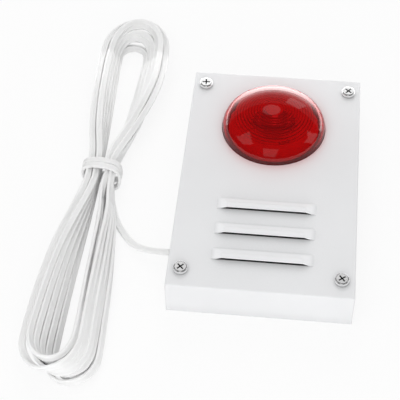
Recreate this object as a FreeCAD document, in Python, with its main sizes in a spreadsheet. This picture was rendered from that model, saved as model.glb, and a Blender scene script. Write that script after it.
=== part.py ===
"""A wall-mounted strobe siren: a folded steel box with a red domed lens, louvres and a coiled supply cord.

Millimetres. The origin is the centre of the back face, +Z points out of the front, +Y towards the lens
end and +X to the right. The box lies on its back, and the cord lies beside it on the same plane.
"""
import FreeCAD, Part
import Sketcher
import math
import os
from types import SimpleNamespace

from FreeCAD import Rotation, Vector

os.makedirs("parts", exist_ok=True)
doc = FreeCAD.newDocument("StrobeSiren")

DIMENSIONS = {
    # folded front cover
    "cover_width": 120.0,
    "cover_height": 194.0,
    "cover_depth": 27.4,
    "cover_sheet": 1.2,
    "bend_radius": 1.0,
    # louvres pressed out of the front
    "louvre_count": 3,
    "louvre_pitch": 21.3,
    "louvre_inset": 65.8,
    "louvre_length": 66.0,
    "louvre_reach": 9.8,
    "louvre_rise": 3.0,
    "louvre_flat": 3.6,
    "louvre_slope": 7.0,
    "louvre_round": 2.0,
    "louvre_corner": 5.0,
    # back plate and the brackets that take the cover screws
    "plate_sheet": 1.2,
    "plate_gap": 0.3,
    "wall_hole_side": 14.0,
    "wall_hole_end": 35.0,
    "wall_hole": 4.5,
    "bracket_sheet": 1.5,
    "bracket_width": 14.0,
    # cover screws
    "screw_side": 8.75,
    "screw_end": 13.2,
    "screw_shank": 4.8,
    "screw_length": 9.0,
    "screw_head": 9.4,
    "screw_rise": 3.1,
    "screw_round": 1.1,
    "recess_span": 5.4,
    "recess_slot": 1.0,
    "recess_depth": 2.0,
    "screw_clearance": 0.4,
    "thread_clearance": 0.05,
    # domed lens
    "lens_inset": 50.9,
    "lens_radius": 36.0,
    "lens_lip": 0.6,
    "lens_rise": 20.0,
    "lens_shoulder": 12.0,
    "lens_wall": 2.2,
    "lens_gap": 0.3,
    "lens_flange": 41.0,
    "flange_sheet": 2.0,
    "ring_count": 11,
    "ring_first": 6.0,
    "ring_pitch": 1.9,
    "ring_step": 1.0,
    "gasket_sheet": 1.0,
    "clamp_radius": 48.5,
    "clamp_sheet": 1.2,
    # studs welded inside the cover, and their nuts
    "stud_radius": 1.5,
    "stud_clearance": 0.1,
    "stud_end": 1.0,
    "lens_stud_circle": 44.6,
    "nut_corner": 3.1,
    "nut_height": 2.4,
    # siren loudspeaker
    "speaker_lens_gap": 3.9,
    "speaker_wall_gap": 3.8,
    "speaker_sheet": 0.9,
    "speaker_stud_edge": 2.8,
    "foam_sheet": 1.6,
    "foam_width": 7.4,
    "basket_rim": 9.0,
    "basket_slope": 10.0,
    "basket_drop": 11.8,
    "basket_window": 15.0,
    "magnet_radius": 22.0,
    "magnet_bore": 11.0,
    "magnet_height": 6.0,
    "pole_radius": 5.6,
    "pole_plate": 2.0,
    "pole_plate_radius": 20.0,
    "coil_radius": 6.1,
    "coil_wall": 0.35,
    "coil_gap": 0.4,
    "coil_height": 8.0,
    "cone_sheet": 0.3,
    "cone_edge_inset": 6.0,
    "cone_roll": 2.4,
    "cone_edge_gap": 1.35,
    "cone_dome": 2.4,
    "tag_length": 14.0,
    "tag_width": 5.0,
    "tag_sheet": 1.2,
    "tag_pitch": 6.4,
    # circuit boards
    "board_sheet": 1.6,
    "standoff_height": 4.0,
    "standoff_radius": 2.75,
    "board_screw_radius": 1.45,
    "board_screw_head": 2.75,
    "board_screw_rise": 2.0,
    "board_screw_length": 5.0,
    "board_edge": 4.0,
    "strobe_board_width": 72.0,
    "strobe_board_height": 44.0,
    "siren_board_width": 72.0,
    "siren_board_height": 28.0,
    "siren_board_drop": 47.4,
    # flash tube, its holder and dish
    "holder_radius": 12.0,
    "holder_height": 12.2,
    "dish_flat": 14.0,
    "dish_radius": 31.5,
    "dish_height": 7.0,
    "dish_sheet": 0.8,
    "tube_radius": 2.0,
    "tube_spread": 6.0,
    "tube_leg": 12.0,
    "tube_depth": 6.0,
    "tube_clearance": 0.05,
    "trigger_radius": 0.35,
    "capacitor_radius": 6.0,
    "capacitor_length": 26.0,
    "part_place": 24.0,
    "inverter_width": 14.0,
    "inverter_length": 12.0,
    "inverter_height": 11.0,
    "inverter_offset": 8.0,
    "trigger_width": 10.0,
    "trigger_length": 9.0,
    "trigger_height": 9.0,
    "trigger_offset": -9.0,
    "groove_depth": 2.0,
    "groove_inset": 1.5,
    # what stands on the siren board
    "terminal_width": 8.0,
    "terminal_length": 14.0,
    "terminal_height": 9.0,
    "terminal_inset": 8.0,
    "terminal_pitch": 7.0,
    "entry_width": 3.2,
    "entry_foot": 2.0,
    "well_radius": 2.0,
    "well_depth": 3.0,
    "well_clearance": 0.1,
    "terminal_screw_height": 2.0,
    "chip_place": -7.0,
    "chip_width": 10.0,
    "chip_length": 7.0,
    "chip_height": 4.0,
    "transistor_place": 17.5,
    "transistor_pitch": 13.0,
    "transistor_width": 10.0,
    "transistor_case": 4.5,
    "transistor_height": 9.0,
    "tab_sheet": 1.3,
    "tab_height": 13.0,
    "smoothing_place": -14.0,
    "smoothing_offset": 8.0,
    "smoothing_radius": 4.0,
    "smoothing_height": 11.0,
    # cable gland and clamp
    "cable_inset": 41.5,
    "cable_height": 7.0,
    "cord_width": 4.8,
    "wire_width": 1.6,
    "gland_radius": 5.5,
    "gland_neck": 4.2,
    "gland_flange": 1.5,
    "gland_clearance": 0.05,
    "saddle_width": 8.0,
    "saddle_length": 20.0,
    "saddle_top": 1.6,
    "saddle_inset": 10.0,
    "saddle_screw_inset": 5.0,
    # wires inside the box
    "wire_bend": 5.0,
    "wire_lift": 3.0,
    "wire_clearance": 1.0,
    "wire_pitch": 3.0,
    "link_place": -26.0,
    "lead_place": 23.0,
    # hank of cord
    "hank_height": 20.5,
    "waist_height": 18.0,
}


class Size:
    """A number that remembers the sheet formula it comes from."""

    def __init__(self, value, formula):
        self.value = float(value)
        self.formula = formula

    def joined(self, sign, other, value):
        return Size(value, f"({self.formula} {sign} {other.formula})")

    def __add__(self, other):
        other = sized(other)
        return self.joined("+", other, self.value + other.value)

    def __sub__(self, other):
        other = sized(other)
        return self.joined("-", other, self.value - other.value)

    def __mul__(self, other):
        other = sized(other)
        return self.joined("*", other, self.value * other.value)

    def __truediv__(self, other):
        other = sized(other)
        return self.joined("/", other, self.value / other.value)

    def __neg__(self):
        return Size(-self.value, f"(0 - {self.formula})")

    __radd__ = __add__
    __rmul__ = __mul__

    def root(self):
        return Size(math.sqrt(self.value), f"sqrt({self.formula})")


def sized(amount):
    """The amount as a Size, whether it is one or a plain number."""
    return amount if isinstance(amount, Size) else Size(amount, repr(float(amount)))


def fill_sheet():
    """Writes the driving dimensions into the sheet and returns them as named Sizes."""
    sheet = doc.addObject("Spreadsheet::Sheet", "Sizes")
    for row, (name, value) in enumerate(DIMENSIONS.items(), start=1):
        sheet.set(f"A{row}", name)
        sheet.set(f"B{row}", str(value))
        sheet.setAlias(f"B{row}", name)
    doc.recompute()
    return SimpleNamespace(**{name: Size(value, "Sizes." + name) for name, value in DIMENSIONS.items()})


s = fill_sheet()
ZERO = sized(0)
LEVEL = 1e-4  # edges this close in place are the same edge
BEND_SHARE = 0.45  # how much of the shorter run beside a corner its arc takes
nodes = []


# Building blocks


def bind(target, **amounts):
    """Sets each property and ties it to its formula."""
    for name, amount in amounts.items():
        amount = sized(amount)
        setattr(target, name, amount.value)
        target.setExpression(name, amount.formula)


def place(target, corner, rotation=Rotation()):
    """Puts an object at a corner given in Sizes, turned by a fixed rotation."""
    corner = [sized(amount) for amount in corner]
    target.Placement = FreeCAD.Placement(Vector(*(amount.value for amount in corner)), rotation)
    for axis, amount in zip("xyz", corner):
        target.setExpression("Placement.Base." + axis, amount.formula)


def block(name, low, high):
    """A box from its low corner to its high corner."""
    low, high = ([sized(amount) for amount in corner] for corner in (low, high))
    box = doc.addObject("Part::Box", name)
    bind(box, Length=high[0] - low[0], Width=high[1] - low[1], Height=high[2] - low[2])
    place(box, low)
    return box


def rod(name, foot, radius, length, along=Vector(0, 0, 1)):
    """A round rod from the centre of its foot."""
    cylinder = doc.addObject("Part::Cylinder", name)
    bind(cylinder, Radius=radius, Height=length)
    place(cylinder, foot, Rotation(Vector(0, 0, 1), along))
    return cylinder


def join(name, *pieces):
    fused = doc.addObject("Part::MultiFuse", name)
    fused.Shapes = list(pieces)
    fused.Refine = True
    return fused


def cut(name, base, *tools):
    difference = doc.addObject("Part::Cut", name)
    difference.Base = base
    difference.Tool = tools[0] if len(tools) == 1 else join(name + "_tools", *tools)
    return difference


def group(name, pieces):
    """Separate solids of one kind, kept together."""
    compound = doc.addObject("Part::Compound", name)
    compound.Links = list(pieces)
    return compound


def ring(name, centre, outer, inner, height):
    """A flat ring from the centre of its lower face."""
    rim = rod(name + "_rim", centre, outer, height)
    return cut(name, rim, rod(name + "_bore", centre, inner, height))


def outline(body, plane, corners, name):
    """A closed sketch through corners; one marked "arc" starts an arc centred on the upright axis."""
    sketch = body.newObject("Sketcher::SketchObject", name)
    support = next(item for item in body.Origin.OriginFeatures if item.Role == plane)
    sketch.AttachmentSupport = [(support, "")]
    sketch.MapMode = "FlatFace"
    points = [(sized(corner[0]), sized(corner[1])) for corner in corners]
    starts = [Vector(x.value, y.value, 0) for x, y in points]
    ends = starts[1:] + starts[:1]
    first_points = []
    last_points = []
    for edge, (start, end) in enumerate(zip(starts, ends)):
        if len(corners[edge]) == 3:
            middle = centre_on_axis(start, end)
            circle = Part.Circle(middle, Vector(0, 0, 1), (start - middle).Length)
            angles = [math.atan2(spot.y - middle.y, spot.x - middle.x) for spot in (start, end)]
            sketch.addGeometry(Part.ArcOfCircle(circle, min(angles), max(angles)), False)
            forward = angles[0] < angles[1]
            first_points.append(1 if forward else 2)
            last_points.append(2 if forward else 1)
            sketch.addConstraint(Sketcher.Constraint("PointOnObject", edge, 3, -2))
        else:
            sketch.addGeometry(Part.LineSegment(start, end), False)
            first_points.append(1)
            last_points.append(2)
    for edge, point in enumerate(points):
        after = (edge + 1) % len(points)
        sketch.addConstraint(
            Sketcher.Constraint("Coincident", edge, last_points[edge], after, first_points[after])
        )
        for kind, amount in zip(("DistanceX", "DistanceY"), point):
            number = sketch.addConstraint(
                Sketcher.Constraint(kind, -1, 1, edge, first_points[edge], amount.value)
            )
            sketch.setExpression(f"Constraints[{number}]", amount.formula)
    return sketch


def centre_on_axis(start, end):
    """The centre, on the upright axis, of the arc through two points."""
    height = (end.x**2 + end.y**2 - start.x**2 - start.y**2) / (2 * (end.y - start.y))
    return Vector(0, height, 0)


def spun(name, corners, foot=(0, 0, 0), rotation=Rotation()):
    """A body of revolution; each corner is a radius and a height above the foot."""
    body = doc.addObject("PartDesign::Body", name)
    sketch = outline(body, "XZ_Plane", corners, name + "_section")
    turned = body.newObject("PartDesign::Revolution", name + "_turned")
    turned.Profile = sketch
    turned.ReferenceAxis = (sketch, ["V_Axis"])
    turned.Angle = 360
    place(body, foot, rotation)
    return body


def padded(name, corners, thickness, foot=(0, 0, 0)):
    """A body of constant thickness over an outline in X and Y."""
    body = doc.addObject("PartDesign::Body", name)
    sketch = outline(body, "XY_Plane", corners, name + "_outline")
    pad = body.newObject("PartDesign::Pad", name + "_pad")
    pad.Profile = sketch
    bind(pad, Length=thickness)
    place(body, foot)
    return body


def rectangle(width, height, middle=(0, 0)):
    """The four corners of a rectangle about its middle."""
    across, along = sized(width) / 2, sized(height) / 2
    x, y = sized(middle[0]), sized(middle[1])
    left, right, near, far = x - across, x + across, y - along, y + along
    return [(left, near), (right, near), (right, far), (left, far)]


def corners_of(width, height, middle=(0, 0)):
    """Each corner of a rectangle with its place and the signs of its side."""
    sides = ((-1, -1), (1, -1), (1, 1), (-1, 1))
    return list(zip(rectangle(width, height, middle), sides))


def circle_of_four(radius, middle, quarter=0.0):
    """Four places on a circle, a quarter turn apart."""
    turns = [math.radians(quarter + 90 * number) for number in range(4)]
    return [(radius * math.cos(turn), middle + radius * math.sin(turn)) for turn in turns]


def pipe(name, points, width):
    """A round tube along straight runs joined by tangent arcs."""
    route = [Vector(*(sized(amount).value for amount in point)) for point in points]
    edges = []
    radii = []
    last = route[0]
    for before, corner, after in zip(route, route[1:], route[2:]):
        back, onward = before - corner, after - corner
        half_turn = (math.pi - back.getAngle(onward)) / 2
        reach = BEND_SHARE * min(back.Length, onward.Length)
        radii.append(reach / math.tan(half_turn))
        back.normalize()
        onward.normalize()
        start, end = corner + back * reach, corner + onward * reach
        inward = (back + onward).normalize()
        middle = corner + inward * (radii[-1] / math.cos(half_turn) - radii[-1])
        edges.append(Part.LineSegment(last, start).toShape())
        edges.append(Part.Arc(start, middle, end).toShape())
        last = end
    edges.append(Part.LineSegment(last, route[-1]).toShape())
    path = Part.Wire(edges)
    radius = sized(width).value / 2
    section = Part.Wire([Part.makeCircle(radius, route[0], route[1] - route[0])])
    shape = path.makePipeShell([section], True, False)
    print(f"{name}: length {path.Length:.1f}, volume over section times length",
          f"{shape.Volume / (math.pi * radius**2 * path.Length):.4f}, least radius {min(radii):.1f}")
    tube = doc.addObject("Part::Feature", name)
    tube.Shape = shape
    return tube


def node(piece, name):
    """Names a finished sub-part."""
    piece.Label = name
    nodes.append(piece)
    return piece


# Places and radii that several pieces share

half_height = s.cover_height / 2
screw_across = s.cover_width - s.screw_side * 2
screw_along = s.cover_height - s.screw_end * 2
lens_place = half_height - s.lens_inset
speaker_far_edge = lens_place - s.clamp_radius - s.speaker_lens_gap
speaker_near_edge = s.cover_sheet + s.speaker_wall_gap - half_height
speaker_radius = (speaker_far_edge - speaker_near_edge) / 2
speaker_place = (speaker_far_edge + speaker_near_edge) / 2
basket_mouth = speaker_radius - s.basket_rim
basket_foot_radius = basket_mouth - s.basket_slope
siren_board_place = lens_place - s.siren_board_drop
cable_place = s.cable_inset - half_height

# Heights that several pieces share

inner_face = s.cover_depth - s.cover_sheet
inner_half_width = s.cover_width / 2 - s.cover_sheet
gasket_foot = inner_face - s.gasket_sheet
flange_foot = gasket_foot - s.flange_sheet
clamp_foot = flange_foot - s.clamp_sheet
speaker_top = inner_face - s.foam_sheet
speaker_flange = speaker_top - s.cone_sheet - s.speaker_sheet
board_foot = s.plate_sheet + s.standoff_height
board_top = board_foot + s.board_sheet
lens_hole = s.lens_radius + s.lens_gap


# Sheet metal


def louvre_wedge(name, lip, foot):
    """A ramp that rises towards its open lip, sloping down at the back and at both ends."""
    wedge = doc.addObject("Part::Wedge", name + "_ramp")
    half = s.louvre_length / 2
    bind(wedge, Xmin=-half, Xmax=half, Zmin=ZERO, Zmax=s.louvre_reach, Ymin=ZERO, Ymax=s.louvre_rise)
    bind(wedge, X2min=s.louvre_slope - half, X2max=half - s.louvre_slope)
    bind(wedge, Z2min=ZERO, Z2max=s.louvre_flat)
    doc.recompute()
    soft = doc.addObject("Part::Fillet", name)
    soft.Base = wedge
    soft.Edges = soft_edges(wedge.Shape)
    place(soft, (0, lip, foot), Rotation(Vector(-1, 0, 0), Vector(0, 0, 1), Vector(0, 1, 0), "XYZ"))
    return soft


def soft_edges(shape):
    """The edges of a ramp that are neither on its foot nor on its open lip, with their radii."""
    chosen = []
    for number, edge in enumerate(shape.Edges, start=1):
        ends = [vertex.Point for vertex in edge.Vertexes]
        on_foot = all(abs(end.y) < 1e-6 for end in ends)
        on_lip = all(abs(end.z) < 1e-6 for end in ends)
        if not on_foot and not on_lip:
            rises = abs(ends[0].y - ends[-1].y) > 1e-6
            radius = (s.louvre_corner if rises else s.louvre_round).value
            chosen.append((number, radius, radius))
    return chosen


def make_front_cover():
    """Five-sided folded box with lens hole, louvres, screw holes and cable hole."""
    body = padded("cover_blank", rectangle(s.cover_width, s.cover_height), s.cover_depth)
    doc.recompute()
    bends = body.newObject("PartDesign::Fillet", "cover_bends")
    pad = body.Group[-2]
    outer = [f"Edge{number}" for number, edge in enumerate(pad.Shape.Edges, start=1)
             if edge.CenterOfMass.z > 1e-6]
    bends.Base = (pad, outer)
    bind(bends, Radius=s.bend_radius)
    body.Tip = bends
    inside = block(
        "cover_inside",
        (s.cover_sheet - s.cover_width / 2, s.cover_sheet - s.cover_height / 2, ZERO),
        (inner_half_width, s.cover_height / 2 - s.cover_sheet, inner_face),
    )
    shell = cut("cover_shell", body, inside)
    hoods = []
    throats = []
    for number in range(int(s.louvre_count.value)):
        lip = s.louvre_inset - half_height - s.louvre_pitch * number
        hoods.append(louvre_wedge(f"hood_{number}", lip, s.cover_depth))
        throats.append(louvre_wedge(f"throat_{number}", lip, inner_face))
    holes = [rod("lens_hole", (0, lens_place, 0), lens_hole, s.cover_depth)]
    for number, (spot, _) in enumerate(corners_of(screw_across, screw_along)):
        radius = s.screw_shank / 2 + s.screw_clearance
        holes.append(rod(f"screw_hole_{number}", (*spot, 0), radius, s.cover_depth))
    holes.append(
        rod("cable_hole", (-s.cover_width / 2, cable_place, s.cable_height),
            s.gland_neck + s.gland_clearance, s.cover_sheet, Vector(1, 0, 0))
    )
    pressed = join("cover_pressed", shell, *hoods)
    return node(cut("cover_cut", pressed, *throats, *holes), "front_cover")


def make_back_plate():
    """Flat plate inside the cover's open back, with four holes for wall screws."""
    across = s.cover_width - s.wall_hole_side * 2
    along = s.cover_height - s.wall_hole_end * 2
    width = inner_half_width * 2 - s.plate_gap * 2
    height = s.cover_height - s.cover_sheet * 2 - s.plate_gap * 2
    plate = padded("plate_blank", rectangle(width, height), s.plate_sheet)
    holes = [
        rod(f"wall_hole_{number}", (*spot, 0), s.wall_hole / 2, s.plate_sheet)
        for number, (spot, _) in enumerate(corners_of(across, along))
    ]
    return node(cut("plate_cut", plate, *holes), "back_plate")


def make_corner_brackets():
    """Four folded brackets: foot on the plate, web beside the cover's wall, ear under the cover's face."""
    brackets = []
    outer = inner_half_width - s.plate_gap
    half_width = s.bracket_width / 2
    for number, (spot, side) in enumerate(corners_of(screw_across, screw_along)):
        inner = screw_across / 2 - half_width
        y_low, y_high = spot[1] - half_width, spot[1] + half_width
        web_inner = outer - s.bracket_sheet
        parts = []
        spans = {
            "foot": (inner, outer, s.plate_sheet, s.plate_sheet + s.bracket_sheet),
            "web": (web_inner, outer, s.plate_sheet, inner_face),
            "ear": (inner, outer, inner_face - s.bracket_sheet, inner_face),
        }
        for kind, (near, far, low, high) in spans.items():
            x_low, x_high = (near, far) if side[0] > 0 else (-far, -near)
            parts.append(block(f"bracket_{kind}_{number}", (x_low, y_low, low), (x_high, y_high, high)))
        folded = join(f"bracket_{number}", *parts)
        radius = s.screw_shank / 2 + s.thread_clearance
        tapped = rod(f"bracket_hole_{number}", (*spot, inner_face - s.bracket_sheet), radius, s.bracket_sheet)
        brackets.append(cut(f"bracket_tapped_{number}", folded, tapped))
    return node(group("brackets", brackets), "corner_brackets")


SCREW_TURNS = (45, 38, 50, 4)


def make_cover_screws():
    """Four pan-head screws with cross recesses, each turned its own way."""
    screws = []
    corners = corners_of(screw_across, screw_along)
    for number, ((spot, _), turn) in enumerate(zip(corners, SCREW_TURNS)):
        head = rod(f"screw_head_{number}", (*spot, s.cover_depth), s.screw_head / 2, s.screw_rise)
        doc.recompute()
        pan = doc.addObject("Part::Fillet", f"screw_pan_{number}")
        pan.Base = head
        rim = max(range(len(head.Shape.Edges)), key=lambda index: head.Shape.Edges[index].CenterOfMass.z)
        pan.Edges = [(rim + 1, s.screw_round.value, s.screw_round.value)]
        top = s.cover_depth + s.screw_rise
        shank = rod(f"screw_shank_{number}", (*spot, s.cover_depth - s.screw_length), s.screw_shank / 2,
                    s.screw_length)
        slots = []
        for arm in range(2):
            slot = doc.addObject("Part::Box", f"recess_{number}_{arm}")
            bind(slot, Length=s.recess_span, Width=s.recess_slot, Height=s.recess_depth)
            rotation = Rotation(Vector(0, 0, 1), turn + 90 * arm)
            middle = rotation.multVec(Vector(s.recess_span.value / 2, s.recess_slot.value / 2, 0))
            place(slot, (spot[0] - middle.x, spot[1] - middle.y, top - s.recess_depth), rotation)
            slots.append(slot)
        screws.append(cut(f"screw_{number}", join(f"screw_solid_{number}", pan, shank), *slots))
    return node(group("screws", screws), "cover_screws")


# Lens and what holds it


def make_strobe_lens():
    """Clear dome with a flange below the cover and stepped rings inside, around a flat middle."""
    base = s.cover_depth + s.lens_lip
    rise = s.lens_rise - s.lens_lip
    shoulder = s.lens_shoulder
    across = s.lens_radius - shoulder
    crown = (across * across + rise * rise - shoulder * shoulder) / ((rise - shoulder) * 2)
    centre = base + rise - crown
    inner_radius = s.lens_radius - s.lens_wall

    def height(radius, depth=ZERO):
        return centre + ((crown - depth) * (crown - depth) - radius * radius).root()

    def inner_height(radius):
        return height(radius, s.lens_wall)

    corners = [
        (inner_radius, flange_foot),
        (s.lens_flange, flange_foot),
        (s.lens_flange, gasket_foot),
        (s.lens_radius, gasket_foot),
        (s.lens_radius, height(s.lens_radius), "arc"),
        (ZERO, base + rise),
        (ZERO, inner_height(s.ring_first) - s.ring_step),
    ]
    for number in range(int(s.ring_count.value)):
        near = s.ring_first + s.ring_pitch * number
        far = near + s.ring_pitch
        corners.append((near, inner_height(near) - s.ring_step))
        corners.append((far, inner_height(far)))
    corners[-1] = (*corners[-1], "arc")
    corners.append((inner_radius, inner_height(inner_radius)))
    body = spun("lens", corners, (0, lens_place, 0))
    round_rim(body, "lens_shoulder", s.lens_radius, height(s.lens_radius), shoulder)
    round_rim(body, "lens_hollow", inner_radius, inner_height(inner_radius), shoulder - s.lens_wall)
    return node(body, "strobe_lens")


def round_rim(body, name, radius, height, amount):
    """Rounds the level circular edge of this radius and height on a body of revolution."""
    doc.recompute()
    turned = body.Tip
    soft = body.newObject("PartDesign::Fillet", name)
    soft.Base = (turned, [
        f"Edge{number}" for number, edge in enumerate(turned.Shape.Edges, start=1)
        if abs(edge.BoundBox.XMax - radius.value) < LEVEL and edge.BoundBox.ZLength < LEVEL
        and abs(edge.CenterOfMass.z - height.value) < LEVEL
    ])
    bind(soft, Radius=amount)
    body.Tip = soft


def make_lens_seat():
    """Gasket above the lens flange and steel clamp ring below it."""
    middle = (ZERO, lens_place)
    gasket = ring("gasket", (*middle, gasket_foot), s.lens_flange, lens_hole, s.gasket_sheet)
    node(gasket, "lens_gasket")
    clamp = ring("clamp", (*middle, clamp_foot), s.clamp_radius, s.lens_radius - s.lens_wall, s.clamp_sheet)
    holes = [
        rod(f"clamp_hole_{number}", (*spot, clamp_foot), s.stud_radius + s.stud_clearance, s.clamp_sheet)
        for number, spot in enumerate(lens_studs())
    ]
    node(cut("clamp_drilled", clamp, *holes), "lens_clamp_ring")


def lens_studs():
    return circle_of_four(s.lens_stud_circle, lens_place, 45)


def speaker_studs():
    return circle_of_four(speaker_radius - s.speaker_stud_edge, speaker_place)


def make_studs():
    """Studs welded to the cover's inner face, each with a hexagon nut."""
    studs = []
    nuts = []
    seats = [(spot, clamp_foot) for spot in lens_studs()]
    seats += [(spot, speaker_flange) for spot in speaker_studs()]
    for number, (spot, seat) in enumerate(seats):
        nut_foot = seat - s.nut_height
        stud_foot = nut_foot - s.stud_end
        studs.append(rod(f"stud_{number}", (*spot, stud_foot), s.stud_radius, inner_face - stud_foot))
        prism = doc.addObject("Part::Prism", f"nut_blank_{number}")
        prism.Polygon = 6
        bind(prism, Circumradius=s.nut_corner, Height=s.nut_height)
        place(prism, (*spot, nut_foot))
        bore = rod(f"nut_bore_{number}", (*spot, nut_foot), s.stud_radius + s.thread_clearance, s.nut_height)
        nuts.append(cut(f"nut_{number}", prism, bore))
    node(group("studs", studs), "weld_studs")
    node(group("nuts", nuts), "stud_nuts")


# Siren loudspeaker


def make_speaker():
    """Loudspeaker hung from the cover behind the louvres, with its magnet towards the back plate."""
    middle = (ZERO, speaker_place)
    stud_holes = [
        (spot, s.stud_radius + s.stud_clearance) for spot in speaker_studs()
    ]
    foam = ring("foam", (*middle, speaker_top), speaker_radius, speaker_radius - s.foam_width,
                s.foam_sheet)
    foam_holes = [rod(f"foam_hole_{number}", (*spot, speaker_top), radius, s.foam_sheet)
                  for number, (spot, radius) in enumerate(stud_holes)]
    node(cut("foam_drilled", foam, *foam_holes), "speaker_gasket")

    basket_foot = speaker_flange - s.basket_drop
    top_plate_foot = basket_foot - s.pole_plate
    magnet_foot = top_plate_foot - s.magnet_height
    yoke_foot = magnet_foot - s.pole_plate

    basket = spun("basket_spun", [
        (s.magnet_bore, basket_foot),
        (basket_foot_radius, basket_foot),
        (basket_mouth, speaker_flange),
        (speaker_radius, speaker_flange),
        (speaker_radius, speaker_flange + s.speaker_sheet),
        (basket_mouth - s.speaker_sheet, speaker_flange + s.speaker_sheet),
        (basket_foot_radius - s.speaker_sheet, basket_foot + s.speaker_sheet),
        (s.magnet_bore, basket_foot + s.speaker_sheet),
    ], (*middle, 0))
    openings = []
    for number in range(4):
        window = doc.addObject("Part::Box", f"basket_window_{number}")
        bind(window, Length=s.basket_slope, Width=s.basket_window, Height=s.basket_drop / 2)
        rotation = Rotation(Vector(0, 0, 1), 45 + 90 * number)
        offset = rotation.multVec(Vector(basket_foot_radius.value, -s.basket_window.value / 2, 0))
        place(window, (offset.x, speaker_place + offset.y, basket_foot + s.basket_drop / 4), rotation)
        openings.append(window)
    flange_holes = [rod(f"basket_hole_{number}", (*spot, speaker_flange), radius, s.speaker_sheet)
                    for number, (spot, radius) in enumerate(stud_holes)]
    node(cut("basket_cut", basket, *openings, *flange_holes), "speaker_basket")

    pole_plate = ring("pole_plate_ring", (*middle, top_plate_foot), s.pole_plate_radius,
                      s.coil_radius + s.coil_wall + s.coil_gap, s.pole_plate)
    node(pole_plate, "speaker_pole_plate")
    magnet = ring("magnet_ring", (*middle, magnet_foot), s.magnet_radius, s.magnet_bore, s.magnet_height)
    node(magnet, "speaker_magnet")
    yoke = spun("yoke_spun", [
        (ZERO, yoke_foot),
        (s.pole_plate_radius, yoke_foot),
        (s.pole_plate_radius, magnet_foot),
        (s.pole_radius, magnet_foot),
        (s.pole_radius, basket_foot),
        (ZERO, basket_foot),
    ], (*middle, 0))
    node(yoke, "speaker_yoke")

    coil_foot = basket_foot - s.pole_plate
    coil = ring("coil_ring", (*middle, coil_foot), s.coil_radius + s.coil_wall, s.coil_radius, s.coil_height)
    node(coil, "voice_coil")
    make_speaker_cone(coil_foot + s.coil_height)

    strip = doc.addObject("Part::Box", "tag_strip")
    bind(strip, Length=s.tag_width, Width=s.tag_length, Height=s.tag_sheet)
    rotation = Rotation(Vector(0, 0, 1), 45)
    offset = rotation.multVec(Vector(speaker_radius.value - s.tag_width.value, -s.tag_length.value / 2, 0))
    place(strip, (offset.x, speaker_place + offset.y, speaker_flange - s.tag_sheet), rotation)
    node(strip, "speaker_tags")


def make_speaker_cone(coil_top):
    """Thin cone with a domed middle and a rolled edge glued to the top of the basket flange."""
    neck = s.coil_radius + s.coil_wall
    edge_foot = speaker_top - s.cone_sheet
    roll_outer = basket_mouth - s.cone_edge_gap
    under = [
        (ZERO, coil_top + s.cone_dome),
        (s.coil_radius / 2, coil_top + s.cone_dome * 3 / 4),
        (s.coil_radius, coil_top),
        (neck, coil_top),
        (roll_outer - s.cone_roll * 3 / 2, edge_foot - s.cone_roll),
        (roll_outer - s.cone_roll / 2, edge_foot - s.cone_roll / 4),
        (roll_outer, edge_foot),
        (speaker_radius - s.cone_edge_inset, edge_foot),
    ]
    over = [(radius, height + s.cone_sheet) for radius, height in reversed(under)]
    cone = spun("cone_spun", under + over, (0, speaker_place, 0))
    node(cone, "speaker_cone")


# Circuit boards and what they carry


def board_screw_places():
    """The screw places of both boards."""
    strobe = rectangle(s.strobe_board_width - s.board_edge * 2, s.strobe_board_height - s.board_edge * 2,
                       (0, lens_place))
    siren = rectangle(s.siren_board_width - s.board_edge * 2, s.siren_board_height - s.board_edge * 2,
                      (0, siren_board_place))
    return strobe, siren


def make_board(name, width, height, middle, screw_places):
    blank = padded(name + "_blank", rectangle(width, height, (0, middle)), s.board_sheet, (0, 0, board_foot))
    holes = [
        rod(f"{name}_hole_{number}", (*spot, board_foot), s.board_screw_radius + s.stud_clearance,
            s.board_sheet)
        for number, spot in enumerate(screw_places)
    ]
    return node(cut(name + "_drilled", blank, *holes), name)


def make_boards():
    """Both boards on standoffs, with their screws."""
    strobe_places, siren_places = board_screw_places()
    make_board("strobe_board", s.strobe_board_width, s.strobe_board_height, lens_place, strobe_places)
    make_board("siren_board", s.siren_board_width, s.siren_board_height, siren_board_place, siren_places)
    standoffs = []
    screws = []
    for number, spot in enumerate(strobe_places + siren_places):
        bore = s.board_screw_radius + s.thread_clearance
        standoffs.append(
            ring(f"standoff_{number}", (*spot, s.plate_sheet), s.standoff_radius, bore, s.standoff_height)
        )
        shank_foot = board_top - s.board_screw_length
        screws.append(join(
            f"board_screw_{number}",
            rod(f"board_shank_{number}", (*spot, shank_foot), s.board_screw_radius, s.board_screw_length),
            rod(f"board_head_{number}", (*spot, board_top), s.board_screw_head, s.board_screw_rise),
        ))
    node(group("standoffs", standoffs), "board_standoffs")
    node(group("board_screw_set", screws), "board_screws")


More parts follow.
